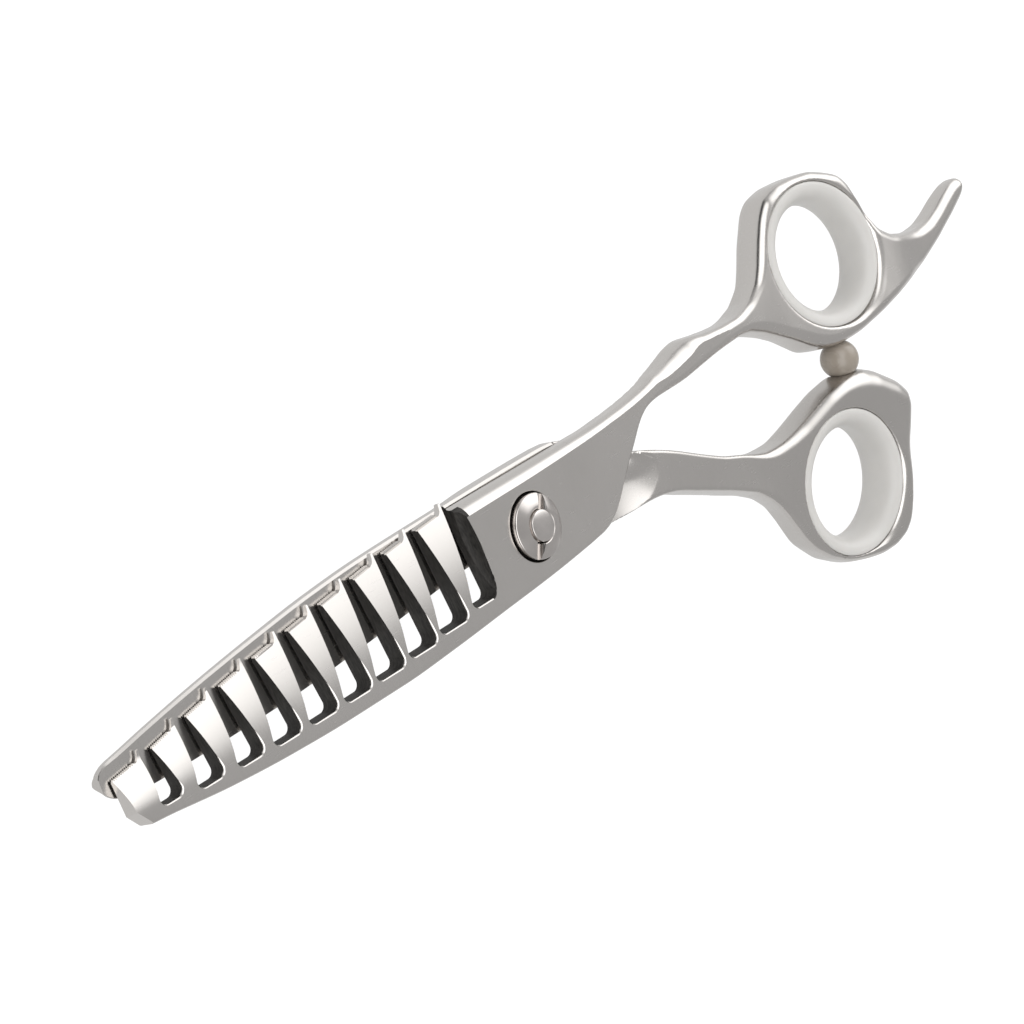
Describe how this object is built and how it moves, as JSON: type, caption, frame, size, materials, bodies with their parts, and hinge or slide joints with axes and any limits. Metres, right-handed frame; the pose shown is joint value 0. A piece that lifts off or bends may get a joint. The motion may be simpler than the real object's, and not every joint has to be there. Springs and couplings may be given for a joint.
{
  "type": "thinning shears",
  "caption": "Hairdresser's thinning shears: toothed blade over a straight blade, domed tension nut, cushioned finger rings, ball bumper and fixed finger tang.",
  "frame": {"origin": "centre of the pivot stud's flat back face, on the pivot axis", "axes": "+X from the pivot towards the finger rings, +Y towards the ring with the tang, +Z out of the toothed blade's outer face, along the pivot axis"},
  "size_m": [0.1852, 0.0532, 0.011],
  "materials": {
    "toothed_steel": "satin ground flats, polished edges and handle",
    "straight_steel": "satin ground flats, polished handle",
    "stud_steel": "turned and polished",
    "nut_steel": "turned, polished dome",
    "spring_steel": "plain",
    "pin_steel": "plain",
    "nylon": "natural nylon",
    "acetal": "natural acetal",
    "insert_upper": "moulded white silicone",
    "insert_lower": "moulded white silicone",
    "bumper_rubber": "moulded beige rubber"
  },
  "bodies": {
    "straight_half": {"straight_blade": "straight_steel", "pivot_stud": "stud_steel", "ride_washer": "nylon", "thumb_ring_insert": "insert_lower", "bumper_ball": "bumper_rubber", "bumper_pin": "pin_steel"},
    "toothed_half": {"toothed_blade": "toothed_steel", "pivot_bushing": "acetal", "spring_washer": "spring_steel", "tang_ring_insert": "insert_upper"},
    "tension_adjuster": {"tension_nut": "nut_steel"}
  },
  "joints": [
    {"name": "blade_pivot", "type": "hinge", "parent": "straight_half", "child": "toothed_half", "pos_m": [0, 0, 0.004], "axis": [0, 0, 1], "range_deg": [0, 70]},
    {"name": "tension_turn", "type": "hinge", "parent": "straight_half", "child": "tension_adjuster", "pos_m": [0, 0, 0.0068], "axis": [0, 0, 1], "range_deg": [-90, 90]}
  ]
}
